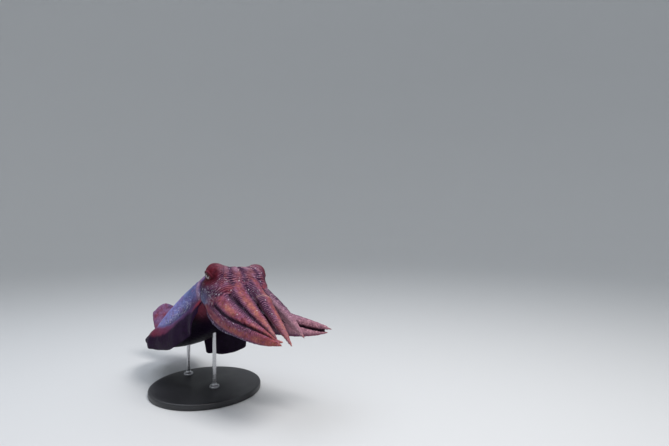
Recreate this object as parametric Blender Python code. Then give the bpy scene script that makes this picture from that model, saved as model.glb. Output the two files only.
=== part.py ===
"""A giant Australian cuttlefish hovering with its arms drooped: a life-size model on a stand.

The animal faces -Y and its own left is +X. Sizes are in metres, +Z up, with the origin under the
middle of the stand's base. Every fleshy piece is a loft: rings of points along a smooth centreline.
Where two pieces would share space, one is cut by a copy of the other that has grown by the gap.
"""

import math

import bmesh
import bpy
import numpy as np

# Driving dimensions of the animal
MANTLE_LENGTH = 0.420
MANTLE_HALF_WIDTH = 0.078
MANTLE_TOP = 0.040
MANTLE_BOTTOM = 0.070
HEAD_HALF_WIDTH = 0.064
HEAD_TOP = 0.023
HEAD_BOTTOM = 0.080
EYE_RADIUS = 0.0170
EYE_SPREAD = 0.0565
BULGE_SPREAD = 0.051
BULGE_RISE = 0.004
BULGE_RADII = (0.021, 0.028, 0.0235)
CHEEK_PLACE = (0.042, 0.002, 0.038)
CHEEK_RADII = (0.036, 0.050, 0.044)
FIN_WIDTH = 0.098
FIN_ROOT_THICKNESS = 0.007
FIN_EDGE_THICKNESS = 0.0022
GAP = 0.0004

# Pose: where the middle of the head is, how the mantle hangs behind it, and how far it all banks
HEAD = np.array([0.010, -0.130, 0.295])
NECK_BACK = 0.034
NECK_DROP = 0.038
MANTLE_PITCH = math.radians(29)
BANK = math.radians(5)

# Display stand
BASE_RADIUS = 0.135
BASE_THICKNESS = 0.014
ROD_RADIUS = 0.0045
ROD_PLACES = {"front": 0.16, "rear": 0.52}

# Base colour, roughness and metallic value of each group of pieces
FINISHES = {
    "mantle": ((0.40, 0.30, 0.46), 0.45, 0.0),
    "head": ((0.40, 0.20, 0.26), 0.45, 0.0),
    "funnel": ((0.46, 0.38, 0.46), 0.45, 0.0),
    "arm": ((0.55, 0.26, 0.24), 0.45, 0.0),
    "fin": ((0.26, 0.14, 0.24), 0.45, 0.0),
    "eye": ((0.03, 0.02, 0.02), 0.12, 0.0),
    "stand_base": ((0.03, 0.03, 0.035), 0.40, 0.0),
    "stand_rod": ((0.55, 0.55, 0.57), 0.28, 1.0),
}

UP = np.array([0.0, 0.0, 1.0])
FORWARD = np.array([0.0, -1.0, 0.0])
LEFT = np.array([1.0, 0.0, 0.0])


def unit(vector):
    return vector / np.linalg.norm(vector)


def bezier(points, t):
    """Position and direction on a cubic curve at t from 0 to 1."""
    a, b, c, d = (np.asarray(p, float) for p in points)
    u = 1 - t
    place = u**3 * a + 3 * u * u * t * b + 3 * u * t * t * c + t**3 * d
    slope = u * u * (b - a) + 2 * u * t * (c - b) + t * t * (d - c)
    return place, unit(slope)


def blend(low, high, t):
    """A smooth step from 0 at low to 1 at high."""
    share = min(1.0, max(0.0, (t - low) / (high - low)))
    return share * share * (3 - 2 * share)


def oval(angle, side, top, bottom, power):
    """A point of a rounded-box section: angle 0 is at +side and a quarter turn is the top."""
    c, s = math.cos(angle), math.sin(angle)
    height = top if s > 0 else bottom
    across = side * math.copysign(abs(c) ** (2 / power), c)
    return across, height * math.copysign(abs(s) ** (2 / power), s)


def turns(count):
    return [2 * math.pi * i / count for i in range(count)]


def banked(point):
    """The point after the whole animal rolls about the fore-and-aft line through its head."""
    x, y, z = point - HEAD
    c, s = math.cos(BANK), math.sin(BANK)
    return HEAD + np.array([c * x + s * z, y, c * z - s * x])


# ---------------------------------------------------------------- the mantle


def mantle_frame(s):
    """Centre, left, up and back directions at s along the mantle, 0 at the neck to 1 at the tail."""
    back = -FORWARD * math.cos(MANTLE_PITCH) - UP * math.sin(MANTLE_PITCH)
    place = HEAD - FORWARD * NECK_BACK - UP * NECK_DROP + back * MANTLE_LENGTH * s
    return place, LEFT, np.cross(LEFT, back), back


def mantle_size(s):
    """Half width, top and bottom of the mantle at s. It is fullest a third of the way back."""
    front = 0.89 + 0.11 * math.sin(math.pi / 2 * min(1, s / 0.3))
    rear = math.sqrt(max(0.0, 1 - (max(0.0, s - 0.2) / 0.8) ** 1.9))
    full = front * rear
    top = MANTLE_TOP * full**1.3 * (1.35 - 0.35 * blend(0, 0.35, s))
    return MANTLE_HALF_WIDTH * full, top, MANTLE_BOTTOM * full**1.9


def mantle_point(s, angle, grow=0.0):
    place, left, up, back = mantle_frame(s)
    side, top, bottom = mantle_size(s)
    across, height = oval(angle, side + grow, top + grow, bottom + grow, 2.25)
    lobe = 0.026 * max(0.0, math.sin(angle)) ** 3 * (1 - blend(0, 0.25, s))
    return place + left * across + up * height - back * lobe


def mantle_rings(grow=0.0):
    stations = [0.0, 0.04, 0.1, 0.17, 0.25, 0.34, 0.43, 0.53, 0.63, 0.73, 0.82, 0.9, 0.96, 0.99]
    return [[mantle_point(s, a, grow) for a in turns(24)] for s in stations]


# ---------------------------------------------------------------- the head

HEAD_STATIONS = (
    # back of the eyes, drop of the middle, and shares of the half width, top and bottom
    (0.062, 0.048, 0.50, 0.70, 0.45),
    (0.038, 0.028, 0.78, 0.90, 0.68),
    (0.016, 0.008, 0.94, 1.00, 0.92),
    (-0.004, 0.002, 0.98, 1.00, 1.02),
    (-0.022, 0.004, 0.98, 0.92, 1.00),
    (-0.038, 0.016, 0.86, 0.80, 0.80),
    (-0.048, 0.028, 0.60, 0.60, 0.52),
)


def head_rings(grow=0.0):
    rings = []
    for back, drop, wide, top, bottom in HEAD_STATIONS:
        centre = HEAD - FORWARD * back - UP * drop
        ring = []
        for angle in turns(20):
            across, height = oval(
                angle,
                HEAD_HALF_WIDTH * wide + grow,
                HEAD_TOP * top + grow,
                HEAD_BOTTOM * bottom + grow,
                2.3,
            )
            ring.append(centre + LEFT * across + UP * height)
        rings.append(ring)
    return rings


# ---------------------------------------------------------------- the arms

CROWN_FORWARD = 0.004
CROWN_DROP = 0.046
CROWN_SIDE = 0.058
CROWN_DEPTH = 0.044
CROWN_LEAN = math.radians(30)

# Angle round the crown from the top, and half width at the root, of each pair of arms
ARM_PAIRS = {1: (20, 0.0190), 2: (62, 0.0205), 3: (106, 0.0200), 4: (144, 0.0220)}

# Where each tip ends, to the animal's left, forward of its eyes and below them, and the slopes in
# degrees below level at which the arm leaves the crown and reaches its tip
ARM_TIPS = {
    ("right", 1): (-0.004, 0.190, 0.116, 44, 26),
    ("right", 2): (-0.008, 0.204, 0.118, 52, 14),
    ("right", 3): (-0.015, 0.216, 0.116, 55, 4),
    ("right", 4): (0.006, 0.190, 0.117, 56, 0),
    ("left", 1): (0.020, 0.203, 0.124, 33, 36),
    ("left", 2): (0.060, 0.191, 0.113, 34, 36),
    ("left", 3): (0.132, 0.194, 0.099, 58, 6),
    ("left", 4): (0.128, 0.188, 0.107, 46, -6),
}
SIDES = {"right": -1, "left": 1}


def from_head(aside, ahead, below):
    return HEAD + LEFT * aside + FORWARD * ahead - UP * below


def arm_line(side, pair):
    """Control points of an arm's centreline."""
    turn = math.radians(ARM_PAIRS[pair][0])
    aside = SIDES[side] * CROWN_SIDE * math.sin(turn)
    over = CROWN_DEPTH * math.cos(turn)
    ahead = CROWN_FORWARD + over * math.sin(CROWN_LEAN)
    below = CROWN_DROP - over * math.cos(CROWN_LEAN)
    tip_aside, tip_ahead, tip_below, leave, arrive = ARM_TIPS[side, pair]
    leave, arrive = math.radians(leave), math.tan(math.radians(arrive))
    bow = 1.06 if side == "right" else 1.0 + 0.12 * pair
    return (
        from_head(aside, ahead, below),
        from_head(
            aside * bow, ahead + 0.055 * math.cos(leave), below + 0.055 * math.sin(leave)
        ),
        from_head(
            0.62 * tip_aside + 0.38 * aside, tip_ahead - 0.055, tip_below - 0.055 * arrive
        ),
        from_head(tip_aside, tip_ahead, tip_below),
    )


def arm_frame(side, pair, v):
    """Centre, across, outward and along directions of an arm at v, from 0 at the root to 1."""
    place, along = bezier(arm_line(side, pair), v)
    turn = math.radians(ARM_PAIRS[pair][0])
    top = FORWARD * math.sin(CROWN_LEAN) + UP * math.cos(CROWN_LEAN)
    outward = LEFT * SIDES[side] * math.sin(turn) + top * math.cos(turn)
    outward = unit(outward - along * np.dot(outward, along))
    return place, np.cross(outward, along), outward, along


def arm_taper(v):
    return 0.06 + 0.94 * (1 - v**3.4) * (1 - 0.15 * v)


def arm_rings(side, pair, start, end, count, grow=0.0):
    half_width = ARM_PAIRS[pair][1]
    rings = []
    for i in range(count):
        v = start + (end - start) * i / (count - 1)
        place, across, outward, along = arm_frame(side, pair, v)
        wide = half_width * arm_taper(v)
        ring = []
        for angle in turns(12):
            x, y = oval(angle, wide + grow, 0.72 * wide + grow, 0.62 * wide + grow, 2.2)
            ring.append(place + across * x + outward * y)
        rings.append(ring)
    return rings


# ---------------------------------------------------------------- the fins


def wave(table, s):
    """A value read off a short table of (s, value) with smooth steps between."""
    for (low, a), (high, b) in zip(table, table[1:]):
        if s <= high:
            return a + (b - a) * blend(low, high, s)
    return table[-1][1]


FIN_WIDTHS = {
    "right": ((0.0, 0.35), (0.12, 0.70), (0.34, 0.72), (0.61, 0.71), (0.80, 0.33), (1.0, 0.14)),
    "left": (
        (0.0, 0.35),
        (0.10, 0.60),
        (0.26, 0.93),
        (0.48, 0.90),
        (0.60, 0.86),
        (0.70, 0.50),
        (0.80, 0.60),
        (0.91, 1.40),
        (1.0, 1.24),
    ),
}
FIN_DROOPS = {
    "right": ((0.0, 55), (0.15, 74), (0.30, 70), (0.50, 62), (0.66, 48), (0.82, 16), (1.0, 10)),
    "left": ((0.0, 70), (0.15, 86), (0.32, 72), (0.62, 88), (0.74, 0), (0.84, -68), (1.0, -72)),
}
FIN_CURLS = {
    "right": ((0.0, 40), (0.3, 60), (0.5, 90), (0.66, 92), (0.82, 26), (1.0, 20)),
    "left": ((0.0, 10), (0.32, 24), (0.5, 4), (0.80, 10), (0.92, -30), (1.0, -50)),
}
FIN_SWING = {"right": 80, "left": 122}
FIN_CLIMB = 46


def fin_ring(side, s, grow=0.0):
    """A fin's closed section at s: out along its upper face and back along its lower one."""
    sign = SIDES[side]
    climb = FIN_CLIMB * blend(0.35, 0.9, s) - 16
    root = mantle_point(min(s, 0.985), math.radians(climb if sign > 0 else 180 - climb))
    _, left, up, back = mantle_frame(s)
    swing = math.radians(5 + (FIN_SWING[side] - 5) * blend(0.72, 1.0, s))
    wide = FIN_WIDTH * wave(FIN_WIDTHS[side], s)
    droop = math.radians(wave(FIN_DROOPS[side], s))
    curl = math.radians(wave(FIN_CURLS[side], s))
    out = left * sign * math.cos(swing) + back * math.sin(swing)
    steps = 5
    place = root - out * 0.004
    upper, lower = [], []
    for i in range(steps + 1):
        t = i / steps
        turn = droop + curl * (t - 0.4)
        run = out * math.cos(turn) - up * math.sin(turn)
        normal = out * math.sin(turn) + up * math.cos(turn)
        thick = FIN_ROOT_THICKNESS * (1 - t) + FIN_EDGE_THICKNESS * t + 2 * grow
        upper.append(place + normal * thick / 2)
        lower.append(place - normal * thick / 2)
        place = place + run * wide / steps
    ring = upper + lower[::-1]
    return ring if sign < 0 else ring[::-1]


def fin_rings(side, start, end, count, grow=0.0):
    return [fin_ring(side, start + (end - start) * i / (count - 1), grow) for i in range(count)]


# ---------------------------------------------------------------- making solids


def loft(name, rings, thin=False):
    """A closed mesh through rings of points. A thin ring runs out along one face of a sheet and
    back along the other, so its ends are closed from face to face; others get a fan."""
    shape = bmesh.new()
    rows = [[shape.verts.new(p) for p in ring] for ring in rings]
    count = len(rows[0])
    for low, high in zip(rows, rows[1:]):
        for i in range(count):
            j = (i + 1) % count
            shape.faces.new((low[i], low[j], high[j], high[i]))
    for row, points in ((rows[0], rings[0]), (rows[-1], rings[-1])):
        if thin:
            for i in range(count // 2 - 1):
                shape.faces.new((row[i], row[i + 1], row[count - 2 - i], row[count - 1 - i]))
            continue
        middle = shape.verts.new(np.mean(points, axis=0))
        for i in range(count):
            shape.faces.new((middle, row[(i + 1) % count], row[i]))
    return finished(name, shape)


def finished(name, shape):
    """A scene object from a bmesh, triangulated, facing outwards."""
    bmesh.ops.triangulate(shape, faces=shape.faces)
    bmesh.ops.recalc_face_normals(shape, faces=shape.faces)
    mesh = bpy.data.meshes.new(name)
    shape.to_mesh(mesh)
    shape.free()
    thing = bpy.data.objects.new(name, mesh)
    bpy.context.scene.collection.objects.link(thing)
    return thing


def flesh(name, rings, thin=False):
    """A loft of the animal itself, which banks with it."""
    return loft(name, [[banked(p) for p in ring] for ring in rings], thin)


def ball_rings(centre, radii, around, along):
    rings = []
    for i in range(1, along):
        turn = math.pi * i / along
        rings.append(
            [
                centre
                + UP * radii[2] * math.sin(turn) * math.cos(a)
                + FORWARD * radii[1] * math.sin(turn) * math.sin(a)
                + LEFT * radii[0] * math.cos(turn)
                for a in turns(around)
            ]
        )
    return rings


def cone_rings(start, end, radii, around):
    """Round rings from start to end, one for each radius."""
    start, end = np.asarray(start, float), np.asarray(end, float)
    along = unit(end - start)
    across = unit(np.cross(along, LEFT + 0.01 * FORWARD))
    other = np.cross(along, across)
    rings = []
    for i, radius in enumerate(radii):
        centre = start + (end - start) * i / (len(radii) - 1)
        rings.append(
            [centre + (across * math.cos(a) + other * math.sin(a)) * radius for a in turns(around)]
        )
    return rings


def join_or_cut(thing, tools, operation):
    """The thing with each tool added to it or cut from it. The tools are used up."""
    for tool in tools:
        step = thing.modifiers.new("cut", "BOOLEAN")
        step.operation = operation
        step.solver = "EXACT"
        step.object = tool
    bpy.context.view_layer.update()
    shape = bmesh.new()
    shape.from_object(thing, bpy.context.evaluated_depsgraph_get())
    name = thing.name
    for used in [thing, *tools]:
        bpy.data.objects.remove(used)
    keep_largest(shape)
    return finished(name, shape)


def keep_largest(shape):
    """Drop loose scraps, leaving the largest connected body."""
    left, bodies = set(shape.verts), []
    while left:
        body, edge = set(), [left.pop()]
        while edge:
            vert = edge.pop()
            body.add(vert)
            for near in vert.link_edges:
                other = near.other_vert(vert)
                if other in left:
                    left.discard(other)
                    edge.append(other)
        bodies.append(body)
    bodies.sort(key=len)
    scraps = [vert for body in bodies[:-1] for vert in body]
    bmesh.ops.delete(shape, geom=scraps, context="VERTS")


def cut(thing, *tools):
    return join_or_cut(thing, tools, "DIFFERENCE")


# ---------------------------------------------------------------- the animal

FUNNEL_BACK, FUNNEL_FRONT = (0.0, -0.045, 0.093), (0.0, 0.016, 0.112)
FUNNEL_RADII = (0.020, 0.017, 0.013)


def eye_centre(side, spread=EYE_SPREAD, rise=0.0):
    return HEAD + LEFT * SIDES[side] * spread + UP * rise


def head_body(grow=0.0):
    """The head with a bulge round each eye and a cheek below it."""
    head = flesh("head", head_rings(grow))
    swellings = []
    for side, sign in SIDES.items():
        aside, ahead, below = CHEEK_PLACE
        for centre, sizes in (
            (eye_centre(side, BULGE_SPREAD, BULGE_RISE), BULGE_RADII),
            (from_head(aside * sign, ahead, below), CHEEK_RADII),
        ):
            radii = [r + grow for r in sizes]
            swellings.append(flesh("swelling", ball_rings(centre, radii, 12, 7)))
    return join_or_cut(head, swellings, "UNION")


def eye_body(side, grow=0.0):
    radius = EYE_RADIUS + grow
    return flesh(f"eye_{side}", ball_rings(eye_centre(side), (radius,) * 3, 16, 12))


def funnel_body(grow=0.0):
    radii = [r + grow for r in FUNNEL_RADII]
    return flesh("funnel", cone_rings(from_head(*FUNNEL_BACK), from_head(*FUNNEL_FRONT), radii, 14))


def funnel_hole():
    back, front = from_head(*FUNNEL_BACK), from_head(*FUNNEL_FRONT)
    deep = back + (front - back) * 0.62
    beyond = back + (front - back) * 1.1
    return flesh("hole", cone_rings(deep, beyond, (0.006, 0.0095), 12))


def arm_body(side, pair, start=0.0, end=1.0, count=15, grow=0.0, name="arm"):
    return flesh(name, arm_rings(side, pair, start, end, count, grow))


def build_animal():
    for side in SIDES:
        eye_body(side)
    cut(head_body(), eye_body("right", GAP), eye_body("left", GAP))
    cut(funnel_body(), funnel_hole(), head_body(GAP))
    cut(flesh("mantle", mantle_rings()), head_body(GAP), funnel_body(GAP))

    done = []
    for pair in ARM_PAIRS:
        for side in SIDES:
            for part, start, end in (("base", 0.0, 0.498), ("tip", 0.502, 1.0)):
                arm = arm_body(side, pair, start, end, 8, 0.0, f"arm_{side}_{pair}_{part}")
                tools = [arm_body(*other, grow=GAP) for other in done]
                if part == "base":
                    tools += [head_body(GAP), flesh("m", mantle_rings(GAP)), funnel_body(GAP)]
                    tools += [eye_body(side, GAP)]
                cut(arm, *tools)
            done.append((side, pair))

    lengths = (("front", 0.02, 0.339), ("middle", 0.341, 0.669), ("rear", 0.671, 1.0))
    for side in SIDES:
        for part, start, end in lengths:
            fin = flesh(f"fin_{side}_{part}", fin_rings(side, start, end, 10), thin=True)
            tools = [flesh("m", mantle_rings(GAP))]
            if side == "left" and part == "rear":
                tools.append(flesh("f", fin_rings("right", 0.6, 1.0, 13, GAP), thin=True))
            cut(fin, *tools)


# ---------------------------------------------------------------- the stand


def build_stand():
    low, high = np.zeros(3), UP * BASE_THICKNESS
    loft("stand_base", cone_rings(low, high, (BASE_RADIUS, BASE_RADIUS), 48))
    for word, s in ROD_PLACES.items():
        top = banked(mantle_frame(s)[0])
        foot = np.array([top[0], top[1], BASE_THICKNESS])
        rod = loft(f"stand_rod_{word}", cone_rings(foot, top, (ROD_RADIUS,) * 2, 16))
        cut(rod, flesh("m", mantle_rings(GAP)))


def clear_scene():
    for thing in list(bpy.data.objects):
        bpy.data.objects.remove(thing)


def finish_surfaces():
    """Give every piece its group's material and smooth shading."""
    for group, (colour, roughness, metallic) in FINISHES.items():
        material = bpy.data.materials.new(group)
        material.use_nodes = True
        surface = material.node_tree.nodes["Principled BSDF"]
        surface.inputs["Base Color"].default_value = (*colour, 1.0)
        surface.inputs["Roughness"].default_value = roughness
        surface.inputs["Metallic"].default_value = metallic
        for thing in bpy.data.objects:
            if thing.name.startswith(group):
                thing.data.materials.append(material)
    for thing in bpy.data.objects:
        thing.data.shade_smooth()
        thing.data.set_sharp_from_angle(angle=math.radians(42))


def main():
    clear_scene()
    build_animal()
    build_stand()
    finish_surfaces()


main()
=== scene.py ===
"""A giant Australian cuttlefish on its display stand: one skin, two eyes, stand, floor and light.

The skin is modelled as solid lofts, joined into one surface, and then sculpted and coloured by
rules. The animal faces -Y and its own left is +X. Sizes are in metres.
"""

import itertools
import math

import bmesh
import bpy
import numpy as np
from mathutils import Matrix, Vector
from mathutils.kdtree import KDTree


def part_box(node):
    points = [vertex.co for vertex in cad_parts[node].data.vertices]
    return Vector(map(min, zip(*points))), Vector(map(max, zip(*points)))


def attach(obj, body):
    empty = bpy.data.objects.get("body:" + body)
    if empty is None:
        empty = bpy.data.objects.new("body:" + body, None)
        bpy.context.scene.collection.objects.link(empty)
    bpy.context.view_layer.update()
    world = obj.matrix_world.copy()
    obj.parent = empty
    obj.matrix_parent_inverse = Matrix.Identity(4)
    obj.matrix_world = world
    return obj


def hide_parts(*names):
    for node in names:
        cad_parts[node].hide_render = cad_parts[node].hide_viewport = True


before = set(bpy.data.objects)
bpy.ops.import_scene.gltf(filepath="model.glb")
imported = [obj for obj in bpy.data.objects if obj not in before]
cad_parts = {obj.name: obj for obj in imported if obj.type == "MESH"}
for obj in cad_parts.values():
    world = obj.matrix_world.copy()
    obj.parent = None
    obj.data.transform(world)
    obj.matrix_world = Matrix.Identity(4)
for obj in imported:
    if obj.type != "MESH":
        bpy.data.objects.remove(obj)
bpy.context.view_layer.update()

# ---------------------------------------------------------------- dimensions, as in the CAD

MANTLE_LENGTH = 0.420
MANTLE_HALF_WIDTH, MANTLE_TOP, MANTLE_BOTTOM = 0.078, 0.040, 0.070
HEAD_HALF_WIDTH, HEAD_TOP, HEAD_BOTTOM = 0.064, 0.023, 0.080
EYE_RADIUS, EYE_SPREAD = 0.0170, 0.0565
FIN_WIDTH, FIN_ROOT_THICKNESS = 0.098, 0.007

# Rounded parts of the head: aside, ahead and below its middle, then radii aside, ahead and up
BULGE = (0.051, 0.0, -0.004), (0.021, 0.028, 0.0235)
CHEEK = (0.042, 0.002, 0.038), (0.036, 0.050, 0.044)

HEAD = np.array([0.010, -0.130, 0.295])
NECK_BACK, NECK_DROP = 0.034, 0.038
MANTLE_PITCH, BANK = math.radians(29), math.radians(5)

CROWN_FORWARD, CROWN_DROP, CROWN_SIDE, CROWN_DEPTH = 0.004, 0.046, 0.058, 0.044
CROWN_LEAN = math.radians(30)
# For each pair: degrees round from the top, and half width at the root
ARM_PAIRS = {1: (20, 0.0190), 2: (62, 0.0205), 3: (106, 0.0200), 4: (144, 0.0220)}
# Tips: aside, ahead and below the head's middle, then degrees down on leaving and on arriving
ARM_TIPS = {
    ("right", 1): (-0.004, 0.190, 0.116, 44, 26),
    ("right", 2): (-0.008, 0.204, 0.118, 52, 14),
    ("right", 3): (-0.015, 0.216, 0.116, 55, 4),
    ("right", 4): (0.006, 0.190, 0.117, 56, 0),
    ("left", 1): (0.020, 0.203, 0.124, 33, 36),
    ("left", 2): (0.060, 0.191, 0.113, 34, 36),
    ("left", 3): (0.132, 0.194, 0.099, 58, 6),
    ("left", 4): (0.128, 0.188, 0.107, 46, -6),
}
SIDES = {"right": -1, "left": 1}

# Fins along the mantle, from 0 at the collar to 1: share of the width, then degrees
FIN_WIDTHS = {
    "right": ((0.0, 0.35), (0.12, 0.70), (0.34, 0.72), (0.61, 0.71), (0.80, 0.33), (1.0, 0.14)),
    "left": ((0.0, 0.35), (0.10, 0.60), (0.26, 0.93), (0.48, 0.90), (0.60, 0.86), (0.70, 0.50))
    + ((0.80, 0.60), (0.91, 1.40), (1.0, 1.24)),
}
FIN_DROOPS = {
    "right": ((0.0, 55), (0.15, 74), (0.30, 70), (0.50, 62), (0.66, 48), (0.82, 16), (1.0, 10)),
    "left": ((0.0, 70), (0.15, 86), (0.32, 72), (0.62, 88), (0.74, 0), (0.84, -68), (1.0, -72)),
}
FIN_CURLS = {
    "right": ((0.0, 40), (0.3, 60), (0.5, 90), (0.66, 92), (0.82, 26), (1.0, 20)),
    "left": ((0.0, 10), (0.32, 24), (0.5, 4), (0.80, 10), (0.92, -30), (1.0, -50)),
}
FIN_SWING = {"right": 80, "left": 122}
FIN_CLIMB, FIN_START = 46, -16

BASE_RADIUS, BASE_THICKNESS, ROD_RADIUS = 0.135, 0.014, 0.0045

# ---------------------------------------------------------------- dimensions of the skin

VOXEL = 0.0012
# The fins' edges are thicker than in the CAD, so that the voxels keep them whole
FIN_EDGE_THICKNESS, FIN_SINK = 0.0030, 0.006
# Joins each bulge to the head, given as the head's rounded parts are
BRIDGE = (0.034, 0.008, 0.002), (0.033, 0.034, 0.0245)
RIPPLE, STRIA, WEB_REACH = 0.0041, 0.0042, 0.42
KEEL_TURN, KEEL_SPREAD = 0.52, 0.22
SUCKER_PITCH, SUCKER_RADIUS, SUCKER_LANES = 0.0068, 0.0026, 2.4
BAND_TURNS, BAND_SPREAD = (0, 40, 80, 121), 9.5
LID_TILT, LID_HALF_LENGTH, LID_ABOVE, LID_BELOW = math.radians(-14), 0.0132, 0.0066, 0.0086
LID_THICK_ABOVE, LID_THICK_BELOW, SOCKET = 0.0040, 0.0022, 0.0024

UP = np.array([0.0, 0.0, 1.0])
FORWARD = np.array([0.0, -1.0, 0.0])
LEFT = np.array([1.0, 0.0, 0.0])

# ---------------------------------------------------------------- small helpers


def unit(v):
    return v / np.linalg.norm(v, axis=-1, keepdims=True)


def blend(low, high, t):
    """A smooth step from 0 at low to 1 at high."""
    share = np.clip((np.asarray(t, float) - low) / (high - low), 0, 1)
    return share * share * (3 - 2 * share)


def fade(low, high, t):
    """A smooth step from 1 at low to 0 at high."""
    return 1 - blend(low, high, t)


def peak(x, middle, width):
    """1 at the middle, fading to 0 on both sides over about the width."""
    return np.exp(-(((x - middle) / width) ** 2))


def wave(table, s):
    """Values read off a short table of (s, value) with smooth steps between."""
    s = np.asarray(s, float)
    out = np.full(s.shape, float(table[0][1]))
    for (low, a), (high, b) in zip(table, table[1:]):
        out = np.where(s > low, a + (b - a) * blend(low, high, s), out)
    return out


def smooth_table(rows, at):
    """Catmull-Rom through table rows, which are one apart in the parameter."""
    rows = np.asarray(rows, float)
    padded = np.vstack([2 * rows[0] - rows[1], rows, 2 * rows[-1] - rows[-2]])
    at = np.clip(at, 0, len(rows) - 1 - 1e-6)
    i = at.astype(int)
    t = (at - i)[:, None]
    a, b, c, d = (padded[i + k] for k in range(4))
    return b + 0.5 * t * (c - a + t * (2 * a - 5 * b + 4 * c - d + t * (3 * (b - c) + d - a)))


def spread(vector, array):
    """The vector times each entry of an array."""
    return np.asarray(array)[..., None] * vector


def angles(count):
    """Evenly spaced angles once round, in radians."""
    return np.linspace(0, math.tau, count, endpoint=False)


def oval(angle, side, top, bottom, power):
    """A squarish oval whose upper and lower halves differ in height."""
    c, s = np.cos(angle), np.sin(angle)
    across = side * np.sign(c) * np.abs(c) ** (2 / power)
    return across, np.where(s > 0, top, bottom) * np.sign(s) * np.abs(s) ** (2 / power)


def ellipsoid(centre, radii, axes, rows, count):
    """Points of an ellipsoid: three radii along three axes, with its poles on the last axis."""
    turn, a = np.linspace(0.05, math.pi - 0.05, rows)[:, None], angles(count)
    shares = np.sin(turn) * np.cos(a), np.sin(turn) * np.sin(a), np.cos(turn)
    for radius, axis, share in zip(radii, axes, shares):
        centre = centre + spread(axis, radius * share)
    return centre


def length_along(points):
    """Distance from the first point, measured along the line of points."""
    return np.concatenate([[0], np.cumsum(np.linalg.norm(np.diff(points, axis=0), axis=1))])


def rolled(points, turn):
    """Points turned about the fore-and-aft line through the head."""
    x, y, z = np.moveaxis(np.asarray(points, float) - HEAD, -1, 0)
    c, s = math.cos(turn), math.sin(turn)
    return HEAD + np.stack([c * x + s * z, y, c * z - s * x], -1)


def banked(points):
    """Points of the level animal after it rolls into its pose."""
    return rolled(points, BANK)


def level(points):
    """The way back from banked."""
    return rolled(points, -BANK)


def scramble(x, y, z, seed):
    """Evenly spread numbers from 0 to 1 for whole-number places."""
    h = x * 374761393 + y * 668265263 + z * 2147483647 + seed * 1274126177
    h = (h ^ (h >> 13)) * 1274126177 & 0xFFFFFFFF
    h = (h ^ (h >> 16)) * 2246822519 & 0xFFFFFFFF
    return ((h ^ (h >> 15)) & 0xFFFFFF) / float(0xFFFFFF)


def noise(points, size, seed=0):
    """Smooth noise from about -1 to 1, with lumps about size across."""
    p = points / size
    i = np.floor(p).astype(np.int64)
    f = p - i
    u = f * f * f * (f * (f * 6 - 15) + 10)
    total = np.zeros(len(points))
    for corner in itertools.product((0, 1), repeat=3):
        slope = [scramble(*(i + corner).T, seed * 3 + k) * 2 - 1 for k in range(3)]
        dot = sum(slope[k] * (f[:, k] - corner[k]) for k in range(3))
        x, y, z = (u[:, k] if corner[k] else 1 - u[:, k] for k in range(3))
        total += dot * x * y * z
    return total * 1.6


def cells(points, size, seed=0):
    """Distance to the nearest of scattered points about size apart, and that point's own number."""
    p = points / size
    i = np.floor(p).astype(np.int64)
    best = np.full(len(points), 9.0)
    own = np.zeros(len(points))
    for step in itertools.product((-1, 0, 1), repeat=3):
        cell = (i + step).T
        spot = np.stack([c + scramble(*cell, seed * 5 + k) for k, c in enumerate(cell)], -1)
        d = np.linalg.norm(p - spot, axis=1)
        near = d < best
        best = np.where(near, d, best)
        own = np.where(near, scramble(*cell, seed * 5 + 3), own)
    return best, own


# ---------------------------------------------------------------- lofts

# Each loft gives its points and, for every point, what it belongs to and where on it that is
KINDS = {"mantle": 0, "head": 1, "funnel": 2, "arm": 3, "fin": 4}
PIECES = []


def keep(kind, points, along, around, side=0, pair=0, run=0.0, sheet=False):
    """Remember a loft. along and around say where each point is on it; run is in metres."""
    shape = points.shape[:2]
    facts = (KINDS[kind], side, pair, along, around, run)
    facts = [np.broadcast_to(np.asarray(x, float), shape) for x in facts]
    PIECES.append((points, np.stack(facts, -1), sheet))


def mantle_frame(s):
    """The mantle's middle line at s, and its directions left, up and back."""
    back = -FORWARD * math.cos(MANTLE_PITCH) - UP * math.sin(MANTLE_PITCH)
    place = HEAD - FORWARD * NECK_BACK - UP * NECK_DROP + spread(back * MANTLE_LENGTH, s)
    return place, LEFT, np.cross(LEFT, back), back


def mantle_point(s, angle):
    """A point of the mantle's surface: s runs from the collar to the tip, angle from its left."""
    s, angle = np.asarray(s, float), np.asarray(angle, float)
    place, left, up, back = mantle_frame(s)
    front = 0.89 + 0.11 * np.sin(math.pi / 2 * np.minimum(1, s / 0.3))
    rear = np.sqrt(np.maximum(0.0, 1 - (np.maximum(0.0, s - 0.2) / 0.8) ** 1.9))
    full = front * rear
    top = MANTLE_TOP * full**1.3 * (1.35 - 0.35 * blend(0, 0.35, s))
    across, height = oval(angle, MANTLE_HALF_WIDTH * full, top, MANTLE_BOTTOM * full**1.9, 2.25)
    lobe = 0.026 * np.maximum(0.0, np.sin(angle)) ** 3 * fade(0, 0.25, s)
    return place + spread(left, across) + spread(up, height) - spread(back, lobe)


def closing(count, turns, end, most=1.0):
    """Stations from 0 to the end, then ever closer ones up to about the most, for a round tip."""
    tip = end + (most - end) * np.sin(np.linspace(0.1, math.pi / 2, turns))
    return np.concatenate([np.linspace(0, end, count), tip])


def add_mantle():
    s, a = np.meshgrid(closing(150, 12, 0.94, 0.9995), angles(150), indexing="ij")
    keep("mantle", mantle_point(s, a), s, np.sin(a), np.sign(np.cos(a)), run=s * MANTLE_LENGTH)


def add_tail():
    """A small knob that fills the fork where both fins meet the tip of the mantle."""
    centre, left, up, back = mantle_frame(0.972)
    keep("mantle", ellipsoid(centre, (0.013, 0.0075, 0.014), (left, up, back), 20, 30), 0.97, 0.3)


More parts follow.
